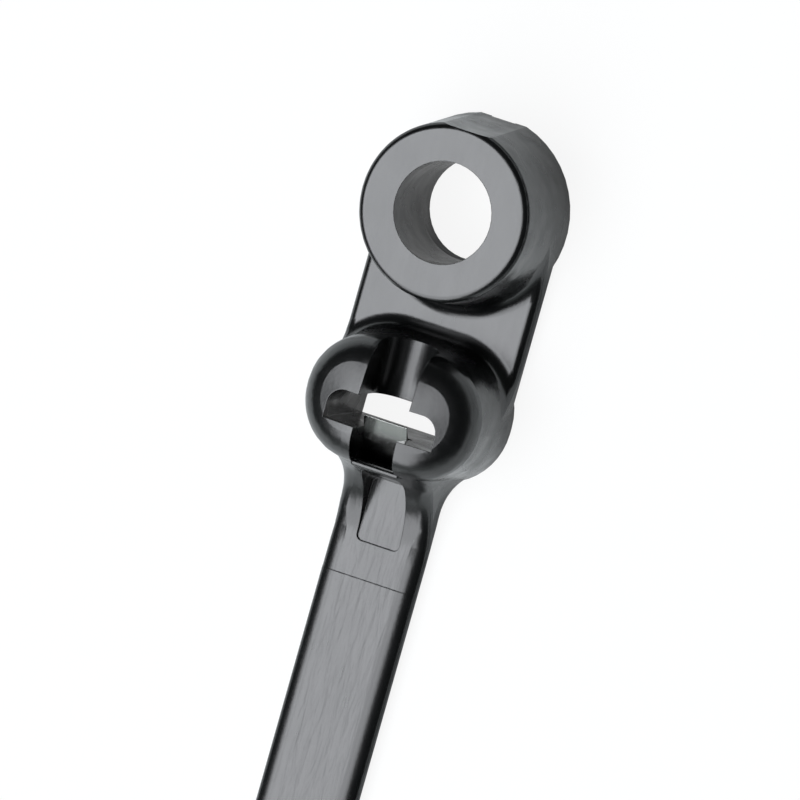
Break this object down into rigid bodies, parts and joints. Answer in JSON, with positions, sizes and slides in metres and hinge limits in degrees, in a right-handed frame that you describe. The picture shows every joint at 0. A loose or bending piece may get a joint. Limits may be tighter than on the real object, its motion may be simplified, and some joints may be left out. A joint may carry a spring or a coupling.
{
  "type": "clamp cable tie",
  "caption": "Black nylon cable tie with a flat strap, a domed locking head with a steel barb, and a raised screw eyelet at its free side.",
  "frame": {"origin": "centre of the screw hole on the flat back", "axes": "+Z out of the surface that the eyelet is screwed to, +Y from the head towards the eyelet, so the strap runs to -Y"},
  "size_m": [0.0096, 0.215, 0.0061],
  "materials": {
    "nylon": "satin, moulded, with faint flow lines along the strap",
    "spring_steel": "rolled strip, plain"
  },
  "bodies": {
    "root": {"tie_body": "nylon", "locking_barb": "spring_steel"}
  },
  "joints": []
}
